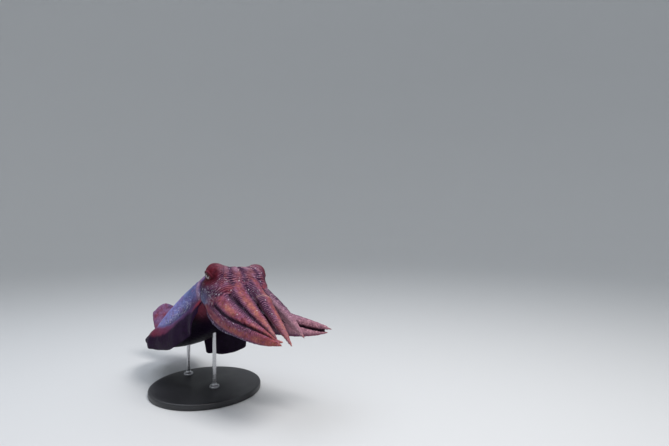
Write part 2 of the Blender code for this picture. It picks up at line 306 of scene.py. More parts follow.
HEAD_STATIONS = (
    # back of the eyes, drop of the middle, and shares of the half width, top and bottom
    (0.062, 0.048, 0.50, 0.70, 0.45),
    (0.038, 0.028, 0.78, 0.90, 0.68),
    (0.016, 0.008, 0.94, 1.00, 0.92),
    (-0.004, 0.002, 0.98, 1.00, 1.02),
    (-0.022, 0.004, 0.98, 0.92, 1.00),
    (-0.038, 0.016, 0.86, 0.80, 0.80),
    (-0.048, 0.028, 0.60, 0.60, 0.52),
)


def from_head(aside, ahead, below):
    return HEAD + LEFT * aside + FORWARD * ahead - UP * below


def add_head():
    rows = smooth_table(HEAD_STATIONS, np.linspace(0, len(HEAD_STATIONS) - 1, 60))
    a = angles(110)
    back, drop, wide, top, bottom = (rows[:, k : k + 1] for k in range(5))
    across, height = oval(a, HEAD_HALF_WIDTH * wide, HEAD_TOP * top, HEAD_BOTTOM * bottom, 2.3)
    points = HEAD + spread(LEFT, across) + spread(UP, height - drop) - spread(FORWARD, back)
    keep("head", points, back, np.sin(a), np.sign(np.cos(a)))
    for sign in SIDES.values():
        for (aside, ahead, below), (wide, deep, tall) in (BULGE, CHEEK, BRIDGE):
            centre = from_head(aside * sign, ahead, below)
            points = ellipsoid(centre, (tall, deep, wide), (UP, FORWARD, LEFT), 30, 110)
            keep("head", points, 0.0, 1.0, sign)


def crown_place(turn):
    """Where an arm leaves the head, turned so far from the top: aside, ahead and below."""
    over = CROWN_DEPTH * np.cos(turn)
    ahead, below = over * math.sin(CROWN_LEAN), over * math.cos(CROWN_LEAN)
    return CROWN_SIDE * np.sin(turn), CROWN_FORWARD + ahead, CROWN_DROP - below


def arm_line(side, pair):
    """The four control points of an arm's middle line."""
    aside, ahead, below = crown_place(math.radians(ARM_PAIRS[pair][0]))
    aside = SIDES[side] * aside
    tip_aside, tip_ahead, tip_below, leave, arrive = ARM_TIPS[side, pair]
    leave, arrive = math.radians(leave), math.tan(math.radians(arrive))
    bow = 1.06 if side == "right" else 1.0 + 0.12 * pair
    places = (
        (aside, ahead, below),
        (aside * bow, ahead + 0.055 * math.cos(leave), below + 0.055 * math.sin(leave)),
        (0.62 * tip_aside + 0.38 * aside, tip_ahead - 0.055, tip_below - 0.055 * arrive),
        (tip_aside, tip_ahead, tip_below),
    )
    return [from_head(*spot) for spot in places]


def arm_frames(side, pair, v):
    """Centres and across and outward directions of an arm at each v."""
    a, b, c, d = arm_line(side, pair)
    t = v[:, None]
    u = 1 - t
    place = u**3 * a + 3 * u * u * t * b + 3 * u * t * t * c + t**3 * d
    along = unit(u * u * (b - a) + 2 * u * t * (c - b) + t * t * (d - c))
    turn = math.radians(ARM_PAIRS[pair][0])
    top = FORWARD * math.sin(CROWN_LEAN) + UP * math.cos(CROWN_LEAN)
    outward = LEFT * SIDES[side] * math.sin(turn) + top * math.cos(turn)
    outward = unit(outward - along * (along @ outward)[:, None])
    return place, np.cross(outward, along), outward


def arm_taper(v):
    """An arm's width at v as a share of its width at the root."""
    return 0.06 + 0.94 * (1 - v**3.4) * (1 - 0.15 * v)


def tube(middle, across, outward, x, y):
    """Points x across and y outward of each middle."""
    return middle[:, None] + x[..., None] * across[:, None] + y[..., None] * outward[:, None]


def add_arm(side, pair):
    v, a = closing(120, 16, 0.93), angles(56)
    place, across, outward = arm_frames(side, pair, v)
    wide = (ARM_PAIRS[pair][1] * arm_taper(v))[:, None]
    points = tube(place, across, outward, *oval(a, wide, 0.72 * wide, 0.62 * wide, 2.2))
    keep("arm", points, v[:, None], a, SIDES[side], pair, length_along(place)[:, None])


def add_web(first, second):
    """The web of skin between two neighbouring arms, given as (side, pair), near their roots."""
    v, a = np.linspace(0.0, WEB_REACH, 40), angles(40)
    one, two = arm_frames(*first, v), arm_frames(*second, v)
    middle, apart = (one[0] + two[0]) / 2, two[0] - one[0]
    half = np.linalg.norm(apart, axis=1) / 2
    fullness = np.sqrt(np.maximum(0.0, 1 - (v / WEB_REACH) ** 2))
    thick = 0.62 * ARM_PAIRS[first[1]][1] * fullness + 0.0002
    x, y = half[:, None] * np.cos(a), thick[:, None] * np.sin(a)
    points = tube(middle, unit(apart), unit(one[2] + two[2]), x, y)
    near_first = np.cos(a) < 0
    sides = np.where(near_first, SIDES[first[0]], SIDES[second[0]])
    pairs = np.where(near_first, first[1], second[1])
    run = length_along(middle)[:, None]
    keep("arm", points, v[:, None], math.radians(30), sides, pairs, run)


def fin_climb(s):
    """Degrees round the mantle, from its side, at which a fin's root runs at s."""
    return FIN_CLIMB * blend(0.35, 0.9, s) + FIN_START


def add_fin(side):
    """A fin as a thin sheet that runs out along its upper face and back along its lower one."""
    sign, steps = SIDES[side], 44
    s = np.linspace(0.015, 1.0, 240)
    climb = fin_climb(s)
    root = mantle_point(np.minimum(s, 0.985), np.radians(climb if sign > 0 else 180 - climb))
    _, left, up, back = mantle_frame(s)
    swing = np.radians(5 + (FIN_SWING[side] - 5) * blend(0.72, 1.0, s))
    wide = FIN_WIDTH * wave(FIN_WIDTHS[side], s)
    droop, curl = np.radians(wave(FIN_DROOPS[side], s)), np.radians(wave(FIN_CURLS[side], s))
    out = spread(left * sign, np.cos(swing)) + spread(back, np.sin(swing))
    inset = FIN_SINK * fade(0.80, 0.95, s)
    wide = wide - (FIN_SINK - inset)
    place = root - out * inset[:, None]
    upper, lower = [], []
    reach = [i / steps for i in range(steps + 1)]
    for t in reach:
        turn = droop + curl * (t - 0.4)
        run = out * np.cos(turn)[:, None] - spread(up, np.sin(turn))
        normal = out * np.sin(turn)[:, None] + spread(up, np.cos(turn))
        rim = math.sqrt(max(0.0, 1 - max(0.0, (t - 0.97) / 0.03) ** 2)) * 0.8 + 0.2
        root_share = (1 - t) ** 1.6
        thick = (FIN_ROOT_THICKNESS * root_share + FIN_EDGE_THICKNESS * (1 - root_share)) * rim
        ripple = 0.0013 * t**2 * np.sin(s * math.tau * 6 + 2.2 * np.sin(s * 9 + sign))
        sheet = place + normal * ripple[:, None]
        upper.append(sheet + normal * thick / 2)
        lower.append(sheet - normal * thick / 2)
        place = place + run * wide[:, None] / steps
    points = np.stack(upper + lower[::-1], 1)
    face = [1] * len(upper) + [-1] * len(lower)
    run = s[:, None] * MANTLE_LENGTH
    keep("fin", points, s[:, None], reach + reach[::-1], sign, face, run, sheet=True)


def add_funnel():
    back, front = from_head(0.0, -0.045, 0.093), from_head(0.0, 0.016, 0.112)
    across = unit(np.cross(unit(front - back), LEFT))
    t = np.concatenate([np.linspace(0, 1, 30), np.linspace(1, 0.4, 16)])[:, None]
    inside = np.repeat([0, 1], (30, 16))[:, None]
    outer = 0.020 - 0.007 * t + 0.0012 * peak(t, 0.94, 0.05)
    radius = np.where(inside, 0.0093 - 0.003 * (1 - t), outer)
    a = angles(60)
    sideways = spread(LEFT, radius * np.cos(a)) + spread(across, radius * np.sin(a))
    keep("funnel", back + spread(front - back, t) + sideways, t, inside)


def loft_mesh():
    """All lofts as one mesh of overlapping closed solids, and a fact row for each point."""
    places, facts, faces, start = [], [], [], 0
    for points, about, sheet in PIECES:
        n, m = points.shape[:2]
        ids = start + np.arange(n * m).reshape(n, m)
        nxt = np.roll(ids, -1, axis=1)
        quads = np.stack([ids[:-1], nxt[:-1], nxt[1:], ids[1:]], -1).reshape(-1, 4)
        faces += quads.tolist()
        places.append(banked(points).reshape(-1, 3))
        facts.append(about.reshape(-1, about.shape[-1]))
        start += n * m
        for row in (0, n - 1):
            ring = ids[row]
            if sheet:
                for i in range(m // 2 - 1):
                    faces.append([ring[i], ring[i + 1], ring[m - 2 - i], ring[m - 1 - i]])
                continue
            places.append(banked(points[row].mean(axis=0))[None])
            facts.append(about[row, :1])
            faces += [[start, ring[i], ring[(i + 1) % m]] for i in range(m)]
            start += 1
    mesh = bpy.data.meshes.new("lofts")
    mesh.from_pydata(np.concatenate(places).tolist(), [], faces)
    shape = bmesh.new()
    shape.from_mesh(mesh)
    bmesh.ops.recalc_face_normals(shape, faces=shape.faces)
    shape.to_mesh(mesh)
    shape.free()
    return mesh, np.concatenate(places), np.concatenate(facts)


# ---------------------------------------------------------------- one skin

add_mantle()
add_head()
add_funnel()
for arm_pair in ARM_PAIRS:
    for word in SIDES:
        add_arm(word, arm_pair)
ring_of_arms = [("right", n) for n in (4, 3, 2, 1)] + [("left", n) for n in (1, 2, 3, 4)]
for neighbours in zip(ring_of_arms, ring_of_arms[1:]):
    add_web(*neighbours)
for word in SIDES:
    add_fin(word)
add_tail()

lofts, loft_places, loft_facts = loft_mesh()
skin = bpy.data.objects.new("skin", lofts)
bpy.context.scene.collection.objects.link(skin)
remesh = skin.modifiers.new("join", "REMESH")
remesh.mode = "VOXEL"
remesh.voxel_size = VOXEL
evaluated = skin.evaluated_get(bpy.context.evaluated_depsgraph_get())
joined = bpy.data.meshes.new_from_object(evaluated)
bpy.data.objects.remove(skin)
bpy.data.meshes.remove(lofts)


def coordinates(mesh):
    flat = np.empty(len(mesh.vertices) * 3)
    mesh.vertices.foreach_get("co", flat)
    return flat.reshape(-1, 3)


def place(mesh, points):
    mesh.vertices.foreach_set("co", points.ravel())
    mesh.update()


def normals(mesh):
    flat = np.empty(len(mesh.vertices) * 3)
    mesh.vertex_normals.foreach_get("vector", flat)
    return flat.reshape(-1, 3)


def edge_ends(mesh):
    ends = np.empty(len(mesh.edges) * 2, dtype=np.int64)
    mesh.edges.foreach_get("vertices", ends)
    return ends.reshape(-1, 2)


class Smoother:
    """Averages a value over each vertex's neighbours."""

    def __init__(self, mesh):
        self.a, self.b = edge_ends(mesh).T
        self.count = len(mesh.vertices)
        self.degree = self.tally(self.a) + self.tally(self.b)

    def tally(self, vertices, values=None):
        return np.bincount(vertices, values, self.count)

    def mean(self, values):
        if values.ndim > 1:
            return np.stack([self.mean(values[:, k]) for k in range(values.shape[1])], -1)
        total = self.tally(self.a, values[self.b]) + self.tally(self.b, values[self.a])
        return total / np.maximum(1, self.degree)

    def border(self, labels):
        """1 where two neighbours carry different labels, neither of them 0."""
        one, two = labels[self.a], labels[self.b]
        apart = (one != two) & (one != 0) & (two != 0)
        out = np.zeros(self.count)
        out[self.a[apart]] = out[self.b[apart]] = 1.0
        return out

    def smooth(self, values, rounds, amount=0.6):
        for _ in range(rounds):
            values = values + amount * (self.mean(values) - values)
        return values


def refine(mesh, centres, radius):
    """Split the faces near the centres into four."""
    middles = coordinates(mesh)[edge_ends(mesh)].mean(axis=1)
    close = np.min([np.linalg.norm(middles - c, axis=1) for c in centres], axis=0) < radius
    shape = bmesh.new()
    shape.from_mesh(mesh)
    shape.edges.ensure_lookup_table()
    edges = [shape.edges[i] for i in np.flatnonzero(close)]
    bmesh.ops.subdivide_edges(shape, edges=edges, cuts=1, use_grid_fill=True)
    bmesh.ops.triangulate(shape, faces=[f for f in shape.faces if len(f.verts) > 4])
    shape.to_mesh(mesh)
    shape.free()


eye_places = [HEAD + LEFT * sign * EYE_SPREAD for sign in SIDES.values()]
lid_places = [banked(c + LEFT * sign * 0.012) for c, sign in zip(eye_places, SIDES.values())]
place(joined, Smoother(joined).smooth(coordinates(joined), 3))
for reach in (0.028, 0.021):
    refine(joined, lid_places, reach)

smoother = Smoother(joined)
smooth = smoother.smooth
skin_points = smooth(coordinates(joined), 2, 0.4)
place(joined, skin_points)

# What each vertex belongs to: the facts of the nearest loft point
tree = KDTree(len(loft_places))
for number, spot in enumerate(loft_places):
    tree.insert(spot, number)
tree.balance()
nearest = np.array([tree.find(p)[1] for p in skin_points])
kind, side, pair, along, around, run = loft_facts[nearest].T

belongs = [kind == KINDS[name] for name in ("mantle", "head", "arm", "fin")]
is_mantle, _, is_arm, is_fin = belongs
shares = [smooth(yes.astype(float), 5) for yes in belongs]
on_mantle, on_head, on_arm, on_fin = shares
outer = np.where(is_arm, np.sin(around), 0.0)
flank = np.where(is_arm, np.abs(np.cos(around)), 0.0)

flat = level(skin_points)
aside, ahead, height = (flat - HEAD).T * [[1], [-1], [1]]


def arms(pairs, word=None):
    """True on the skin of some pairs of arms, on both sides or on the one named."""
    on = is_arm & np.isin(pair, pairs)
    return on if word is None else on & (side == SIDES[word])


def hollow(rounds):
    """How far the skin is below its own average over some rounds: above 0 in hollows."""
    return np.einsum("ij,ij->i", smooth(skin_points, rounds) - skin_points, facing)


def relax(points, amount, rounds):
    """Points moved towards their neighbours' average, by an amount given for each."""
    for _ in range(rounds):
        points = points + amount * (smoother.mean(points) - points)
    return points


# Hollows in millimetres, finely and broadly
facing = normals(joined)
fine_hollow = smooth(hollow(12) * 1000, 3)
broad_hollow = smooth(hollow(60) * 1000, 6)

# The bulges and the arms grow smoothly out of the head; creases part the arms and the collar
meeting = np.clip(on_head + 4 * on_head * on_arm, 0, 1) * (1 - on_mantle)
skin_points = relax(skin_points, 0.6 * meeting[:, None], 26)
brow = on_head * blend(-0.035, -0.020, height)
for gain in (1.0, 1.0, 1.2, 1.4, 1.4):
    place(joined, skin_points)
    facing = normals(joined)
    rise = smooth(np.clip(hollow(55), 0, 0.004), 5) * meeting * (1 + (gain - 1) * brow)
    skin_points = skin_points + rise[:, None] * facing
skin_points = relax(skin_points, (0.6 * brow * meeting)[:, None], 30)
place(joined, skin_points)
facing = normals(joined)
neck = np.clip(4 * on_head * on_mantle, 0, 1)
seam = smoother.border(np.where(is_arm, pair * side, 0.0))
root_fade = smooth(np.where(is_arm, blend(0.04, 0.26, along), 0.0), 4)
seam_fine = np.clip(3.0 * smooth(seam, 3), 0, 1) * root_fade
seam_broad = np.clip(4.0 * smooth(seam, 22), 0, 1) * (0.25 + 0.75 * root_fade)

# Bands that run back from the grooves between the arms over the top of the head
half_width = 0.054
narrow = half_width * (0.42 + 0.58 * blend(-0.03, 0.045, ahead))
top_turn = np.degrees(np.arcsin(np.clip(np.abs(aside) / narrow, 0, 1)))
side_turn = np.degrees(np.arctan2(np.abs(aside) / half_width, (height + 0.046) / 0.044))
on_top = blend(-0.03, 0.012, height)
crown_turn = on_top * top_turn + (1 - on_top) * side_turn + 6 * noise(flat, 0.02, 3)
off_band = np.min([np.abs(crown_turn - turn) for turn in BAND_TURNS], axis=0)
band = peak(off_band, 0, BAND_SPREAD)

eye_gap = np.min([np.linalg.norm(flat - c, axis=1) for c in eye_places], axis=0)
bare = fade(0.024, 0.036, eye_gap)

# Short chevron waves across the arms and the top of the head, counted in waves
swerve = 0.30 * noise(flat, 0.011, 5) + 0.16 * noise(flat, 0.0045, 6)
root_turn, root_width = np.array([(90, 0.02)] + [ARM_PAIRS[n] for n in (1, 2, 3, 4)]).T
arm_number = np.where(is_arm, pair, 0).astype(int)
_, root_ahead, root_below = crown_place(np.radians(root_turn[arm_number]))
arm_count = (0.85 * run + 0.75 * root_ahead + 0.65 * root_below) / RIPPLE + 0.9 * flank
head_count = (0.75 * ahead - 0.65 * height) / RIPPLE + 0.035 * off_band
count = np.where(is_arm, arm_count, head_count)
border = np.clip(4 * on_head * on_arm, 0, 1)
count = count + border * (smooth(count, 24) - count) + swerve
ripple = np.sin(math.tau * count)
arm_fade = fade(0.50, 0.88, along)
upper_face = blend(-0.25, 0.2, outer)
arm_rough = on_arm * arm_fade * upper_face * (0.16 + 0.84 * blend(0.35, 0.75, flank))
head_rough = on_head * (1 - bare) * blend(-0.080, -0.03, height) * (0.50 + 0.50 * band)
roughened = np.maximum(arm_rough, head_rough) * (1 - 0.6 * border * (1 - on_top))
roughened = smooth(roughened, 3)

# ---------------------------------------------------------------- sculpting

flesh_share = np.clip(on_head + on_arm, 0, 1)
lift = 0.00050 * roughened * ripple
lift += 0.00055 * noise(flat, 0.011, 10) * flesh_share * (1 - 0.8 * bare)
lift += 0.00030 * noise(flat, 0.0045, 11) * flesh_share * (1 - 0.7 * bare)
lift -= 0.0015 * on_head * band * (1 - bare) * blend(-0.045, -0.03, ahead)
lift += 0.00055 * np.clip(fine_hollow, -1.2, 2.0) * on_arm
lift -= 0.0022 * neck
lift -= 0.0022 * seam_fine + 0.0026 * seam_broad
lift += 0.0009 * bare
knuckle = smooth(arms(1, "left") * peak(along, 0.40, 0.055), 3)
lift += 0.0040 * knuckle * upper_face
lift += 0.00022 * noise(flat, 0.006, 12) * on_mantle

# Small rounded warts: spacing, share of the spots that carry one, width, height and place
dorsal = on_mantle * blend(0.05, 0.5, around)
warty = on_head + on_arm * (0.3 + 0.7 * arm_fade) * upper_face
warty = np.clip(warty, 0, 1) * (1 - bare)
round_the_eye = bare * blend(0.019, 0.023, eye_gap)
warts = (
    (0.011, 0.45, 0.34, 0.0009, dorsal),
    (0.006, 0.50, 0.40, 0.0007, warty),
    (0.014, 0.50, 0.22, 0.0011, warty),
    (0.005, 0.40, 0.40, 0.00045, round_the_eye),
)
for seed, (size, chance, width, tall, where) in enumerate(warts, 2):
    far, own = cells(flat, size, seed)
    lift += tall * np.where(own > 1 - chance, fade(0.05, width, far), 0.0) * where

# The collar's rim and the fins' fine cross lines
collar = smooth(np.where(is_mantle, peak(along, 0.020, 0.014), 0.0), 3)
collar = collar * blend(-0.6, 0.0, np.where(is_mantle, around, 0))
lift += 0.0018 * collar
striae = np.sin(math.tau * run / STRIA + 1.5 * noise(flat, 0.02, 14))
lift += 0.00014 * striae * on_fin

# A thin keel along the lower outer edge of the third arms
reached = np.where(is_arm, along, 0.0)
edge_turn = np.where(arms(3), np.arctan2(np.sin(around), np.cos(around) * side), 0.0)
keel = arms(3) * peak(edge_turn, KEEL_TURN, KEEL_SPREAD) * fade(0.75, 0.95, along)
keel = smooth(keel, 2)
lift += np.where(side > 0, 0.0050, 0.0022) * keel
keel_root = keel * blend(0.02, 0.12, reached) * fade(0.30, 0.50, reached)
lift += 0.0062 * smooth(keel_root, 2)

# Four rows of suckers along the inner face of each arm
arm_width = root_width[arm_number] * arm_taper(reached)
lane = np.where(is_arm, np.cos(around), 0) * SUCKER_LANES
lane_mid = np.floor(lane) + 0.5
stagger = run / SUCKER_PITCH + 0.5 * (np.floor(lane) % 2)
off_row = (stagger - np.floor(stagger) - 0.5) * SUCKER_PITCH
to_sucker = np.hypot((lane - lane_mid) * arm_width / SUCKER_LANES, off_row)
to_sucker = to_sucker / (SUCKER_RADIUS * (1 - 0.5 * reached))
inner = on_arm * blend(0.45, 0.7, -outer) * (np.abs(lane_mid) < 2)
cup = fade(0.75, 1.1, to_sucker) - 0.8 * fade(0.25, 0.6, to_sucker)
lift += 0.0013 * inner * cup

skin_points = skin_points + lift[:, None] * facing

# Eye openings: the skin dips behind the ball and rises round it as lids
lid, opening = np.zeros((2, len(skin_points)))
for centre, sign in zip(eye_places, SIDES.values()):
    rel = level(skin_points) - centre
    out, fore, up = rel[:, 0] * sign, -rel[:, 1], rel[:, 2]
    c, s = math.cos(LID_TILT), math.sin(LID_TILT)
    fore, rise = fore * c + up * s, up * c - fore * s + 0.0010
    above = rise > 0
    reach = np.hypot(fore / LID_HALF_LENGTH, rise / np.where(above, LID_ABOVE, LID_BELOW))
    reach = reach + 0.05 * np.sin(3 * np.arctan2(rise, fore) + 1.0)
    far = np.linalg.norm(rel, axis=1)
    near = (out > 0.0) & (far < 0.05)
    thick = np.where(above, LID_THICK_ABOVE, LID_THICK_BELOW)
    goal = EYE_RADIUS - SOCKET + (thick + SOCKET) * blend(0.86, 1.05, reach)
    goal = goal - 0.0011 * peak(reach, 1.62, 0.16) * above
    pull = near * fade(1.15, 2.0, reach)
    rel = rel * ((far + pull * (goal - far)) / far)[:, None]
    skin_points = np.where(near[:, None], banked(centre + rel), skin_points)
    lid = np.maximum(lid, near * peak(reach, 1.12, 0.20))
    opening = np.maximum(opening, near * fade(0.85, 1.0, reach))

place(joined, skin_points)

# ---------------------------------------------------------------- colouring the skin


def mix(a, b, t):
    """Colours a changed towards b by t at each vertex."""
    return a + np.clip(t, 0, 1)[:, None] * (np.asarray(b) - a)


def coats(colours, *layers):
    """Colours with each (colour, share) of the layers laid over them in turn."""
    for over, amount in layers:
        colours = mix(colours, over, amount)
    return colours


# The third colour here is the near black painted as shade in creases and recesses
LILAC, PLUM, RECESS_SHADE = (0.24, 0.105, 0.21), (0.038, 0.008, 0.034), (0.006, 0.002, 0.008)
ROSE, SALMON, TAN = (0.25, 0.060, 0.080), (0.30, 0.070, 0.070), (0.38, 0.150, 0.112)
MAROON, BROWN, BLOOD = (0.065, 0.007, 0.015), (0.105, 0.018, 0.032), (0.100, 0.007, 0.014)
SLATE, MIST, SKY = (0.092, 0.122, 0.245), (0.112, 0.132, 0.245), (0.14, 0.19, 0.42)
LAVENDER, MAGENTA, HEATHER = (0.17, 0.17, 0.40), (0.22, 0.085, 0.24), (0.22, 0.14, 0.28)
WINE, BERRY, INDIGO = (0.150, 0.026, 0.052), (0.20, 0.045, 0.070), (0.060, 0.030, 0.100)
GARNET, CRIMSON, RUBY = (0.088, 0.010, 0.020), (0.17, 0.013, 0.020), (0.28, 0.035, 0.055)
POPPY, BLUSH, SAND = (0.36, 0.075, 0.120), (0.50, 0.30, 0.36), (0.46, 0.26, 0.22)
# The last two colours here are near blacks painted as shade: under the body, and on the fins
PEARL, UNDERSIDE_SHADE, FIN_SHADE = (0.50, 0.50, 0.62), (0.006, 0.003, 0.010), (0.014, 0.004, 0.022)

broad = noise(flat, 0.045, 21)
patchy = noise(flat, 0.014, 22)
speckled = noise(flat, 0.005, 23)
blank = np.zeros((len(skin_points), 3))

# Mantle: lavender above with magenta mottling and a red patch by the collar; painted shade darkens
# the lower flank and makes the underside almost black, and painted light lightens it towards the
# rear
mantle_turn = np.where(is_mantle, around, 0.3)
below = fade(-0.50, -0.02, mantle_turn + 0.06 * patchy)
mottled = blend(-0.05, 0.6, patchy + 0.8 * speckled)
red = peak(along, 0.06, 0.06) * peak(mantle_turn, -0.50, 0.22)
mantle_colour = coats(
    blank + LAVENDER,
    (SKY, 0.8 * blend(-0.3, 0.4, broad + 0.3 * patchy)),
    (MAGENTA, (0.36 + 0.30 * blend(0.0, 0.4, mantle_turn)) * mottled),
    (MAGENTA, 0.25 * fade(0.02, 0.12, along)),
)
# Painted light: the mantle is made lighter towards the rear, where less light falls on it
painted_light_gain = 0.80 + 0.70 * blend(0.05, 0.30, np.where(is_mantle, along, 0.0))
mantle_colour = coats(
    mantle_colour * painted_light_gain[:, None],
    (PLUM, 0.38 * blend(0.2, 0.8, 0.8 * speckled - 0.5 * broad + 0.3 * patchy)),
    # Painted shade: plum over the lower flank and near black over the underside
    (PLUM, 0.7 * blend(0.10, 0.45, -mantle_turn + 0.1 * patchy)),
    (UNDERSIDE_SHADE, below),
    (POPPY, 0.9 * red),
)

# Head: pink lilac above with dark waves, blood red about the eyes, slate cheeks, and painted shade
# making it dark underneath
cheek = blend(0.015, 0.045, -height) * blend(0.030, 0.055, np.abs(aside))
flush = fade(0.030, 0.047, eye_gap) * (1 - bare) * (1 - band)
facing_front = (1 - band) * blend(0.030, 0.045, ahead) * blend(0.012, 0.028, -height)
crown = on_top * (1 - bare) * blend(0.0, 0.018, height) * fade(0.01, 0.045, ahead)
head_colour = coats(
    blank + LILAC,
    (ROSE, blend(-0.4, 0.5, patchy + 0.2)),
    (TAN, 0.45 * (1 - band) * on_top * blend(0.02, 0.05, ahead)),
    (MAROON, 0.45 * blend(0.1, 0.8, speckled - 0.4 * patchy)),
    (PLUM, 0.82 * band),
    (SLATE, 0.9 * cheek * fade(0.0, 0.035, ahead)),
    (mix(blank + BLOOD, BROWN, 0.4 + patchy), bare),
    (MAROON, bare * blend(-0.006, 0.008, -height) * (0.85 + 0.25 * patchy)),
    (GARNET, 0.95 * flush),
    (CRIMSON, 0.85 * facing_front),
    (BLUSH, 0.65 * crown * (1 - 0.95 * band)),
    # Painted shade: near black underneath the head
    (UNDERSIDE_SHADE, blend(0.060, 0.085, -height)),
)

# Arms: rose and salmon ridges between plum flanks, reddening towards pale tips; painted shade
# darkens the fourth arms near their roots, and painted light brightens the right arms
arm_colour = coats(
    blank + ROSE,
    (SALMON, blend(0.2, 0.8, along + 0.35 * patchy)),
    (TAN, 0.75 * blend(0.50, 0.95, outer) * blend(-0.3, 0.6, 0.6 * patchy + 0.8 * speckled)),
    (LILAC, 0.5 * arm_fade * blend(0.1, 0.6, flank)),
    (PLUM, blend(0.32, 0.85, flank + 0.22 * patchy) * (0.25 + 0.35 * arm_fade)),
    (MAROON, (0.70 - 0.35 * blend(0.5, 0.9, along)) * blend(0.0, 0.8, speckled - 0.6 * patchy)),
    (LILAC, 0.45 * blend(0.0, 0.7, -speckled - 0.4 * patchy)),
    (BLUSH, 0.22 * arms(1) * blend(0.55, 0.90, along) * upper_face),
    (MAROON, 0.18 * arms(3, "right")),
    (LILAC, 0.30 * arms((2, 3, 4), "left")),
    (BLUSH, 0.38 * arms(2, "left")),
    (BLUSH, 0.45 * blend(0.15, 0.6, -outer)),
    # Painted shade: near black on the fourth arms towards their roots, under the head
    (UNDERSIDE_SHADE, 0.75 * arms(4) * fade(0.35, 0.8, along)),
    (TAN, 0.6 * blend(0.93, 1.0, along)),
)
# Painted light: the right arms of the second, third and fourth pairs made brighter, the second most
# towards its tip
lit = 0.20 + 0.18 * (pair == 2) * blend(0.45, 0.75, along)
lit = smooth(arms((2, 3, 4), "right") * lit, 6)
ring = arms(1, "left") * peak(along, 0.35 + 0.03 * outer, 0.018)
arm_colour = coats(
    arm_colour * (1 + lit)[:, None],
    (MIST, 0.9 * blend(0.15, 0.6, keel) * arm_fade),
    (SAND, 0.8 * ring * upper_face),
    (PEARL, 0.85 * blend(0.75, 0.95, keel) * arm_fade),
)

# Fins: wine above with a lavender root; painted shade makes them almost black to the front, towards
# the edge and beneath
fin_reach = np.where(is_fin, around, 0.0) + 0.08 * patchy
fin_front_shade = fade(0.15, 0.55, along)
fin_edge_shade = fin_reach + 0.26 * fin_front_shade * blend(0.06, 0.14, along)
behind_collar = blend(0.1, 0.3, along)
risen = np.where(is_fin & (side > 0), blend(0.80, 0.90, along), 0.0)
fin_colour = coats(
    blank + WINE,
    # Painted shade: dark indigo towards the front of the fin
    (INDIGO, 0.90 * fin_front_shade),
    (RUBY, 0.9 * fade(0.03, 0.09, along) * fade(0.45, 0.8, fin_reach)),
    (MAGENTA, 0.25 * fade(0.05, 0.45, fin_reach) * behind_collar),
    (LAVENDER, 0.80 * fade(0.02, 0.20, fin_reach) * behind_collar),
    (MAROON, 0.4 * blend(0.0, 0.7, speckled)),
    # Painted shade: near black towards the edge and over the lower face
    (FIN_SHADE, 0.98 * blend(0.40, 0.58, fin_edge_shade)),
    (FIN_SHADE, 0.96 * (is_fin & (pair < 0))),
    (mix(blank + BERRY, HEATHER, 0.5 + 0.7 * patchy), 0.9 * risen),
)

funnel_colour = mix(blank + PLUM, LILAC, 0.35 * blend(-0.5, 0.5, patchy))

layers = (mantle_colour, head_colour, arm_colour, fin_colour)
colour = sum(share[:, None] * layer for share, layer in zip(shares, layers))
colour = colour + np.clip(1 - sum(shares), 0, 1)[:, None] * funnel_colour
# Painted shade: the hollows and the seams between the arms, the collar's crease and the eye
# openings darkened
groove_shade = blend(0.15, 1.0, fine_hollow) * blend(0.3, 1.5, fine_hollow + broad_hollow)
groove_shade = groove_shade * flesh_share * np.where(is_arm, 0.35 + 0.65 * root_fade, 0.5)
colour = coats(
    colour,
    (PLUM, 0.40 * seam_broad),
    (RECESS_SHADE, np.clip(0.80 * groove_shade + 0.97 * seam_fine, 0, 0.97)),
    (RECESS_SHADE, 0.85 * neck),
    (BLUSH, 0.50 * collar),
    (MAROON, 0.85 * lid),
    (RECESS_SHADE, opening),
)
colour = smooth(colour, 1, 0.4) * (1 + 0.12 * speckled[:, None])

# Rows of white dots above the fin roots, and a scatter on the cheeks and third arms
above_root = np.where(is_mantle, around - np.sin(np.radians(fin_climb(along))), 9.0)
dots = on_mantle * peak(above_root, 0.14, 0.12) * blend(0.05, 0.15, along)
arm_dots = (0.35 + 0.65 * blend(0.2, 0.8, flank)) * (0.13 + 0.17 * (pair == 3))
white = 1.7 * dots + 0.08 * on_mantle * (1 - below)
white += on_arm * arm_fade * upper_face * arm_dots
white += 0.75 * on_head * cheek + 0.12 * on_head * (1 - bare)
white = np.clip(white, 0, 1) * (1 - opening)


def paint(mesh, name, values):
    """Three numbers for each vertex, such as a colour, which the materials read by name."""
    layer = mesh.color_attributes.new(name, "FLOAT_COLOR", "POINT")
    full = np.concatenate([np.maximum(values, 0), np.ones((len(values), 1))], 1)
    layer.data.foreach_set("color", full.astype(np.float32).ravel())


paint(joined, "tint", colour)
paint(joined, "marks", np.stack([white, roughened, count - count.min()], -1))
joined.shade_smooth()

# ---------------------------------------------------------------- materials


